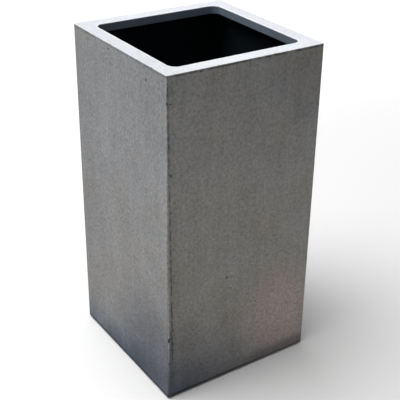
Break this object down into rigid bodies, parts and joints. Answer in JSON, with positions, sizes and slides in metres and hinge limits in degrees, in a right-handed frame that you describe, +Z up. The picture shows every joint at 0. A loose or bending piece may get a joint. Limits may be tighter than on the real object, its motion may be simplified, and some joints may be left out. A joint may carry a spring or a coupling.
{
  "type": "tall square planter",
  "caption": "Tall square floor planter with a concrete-look face, flat rim and turned-down lip, bonded floor and a drain plug that lifts out.",
  "frame": {"origin": "centre of the square footprint, on the ground under the foot pads", "axes": "+Z up out of the opening, +X and +Y across the flat sides; -Y is the front right face in the picture, -X the front left one"},
  "size_m": [0.4, 0.4, 0.8],
  "materials": {
    "concrete_face": "matte, fine-grained, light grey cement look",
    "dark_laminate": "dark slate painted glass-fibre laminate",
    "floor_laminate": "dark painted glass-fibre laminate, matt",
    "bonding_paste": "dark grey resin paste, tooled by hand",
    "plug_rubber": "black moulded rubber",
    "foot_rubber": "black rubber, matt"
  },
  "bodies": {
    "planter": {"face_coat": "concrete_face", "shell_laminate": "dark_laminate", "base_panel": "floor_laminate", "base_bond": "bonding_paste", "foot_pad_front_left": "foot_rubber", "foot_pad_front_right": "foot_rubber", "foot_pad_back_left": "foot_rubber", "foot_pad_back_right": "foot_rubber"},
    "plug": {"drain_plug": "plug_rubber"}
  },
  "joints": [
    {"name": "drain_plug_lift", "type": "slide", "parent": "planter", "child": "plug", "axis": [0, 0, 1], "range_m": [0, 0.82]}
  ]
}
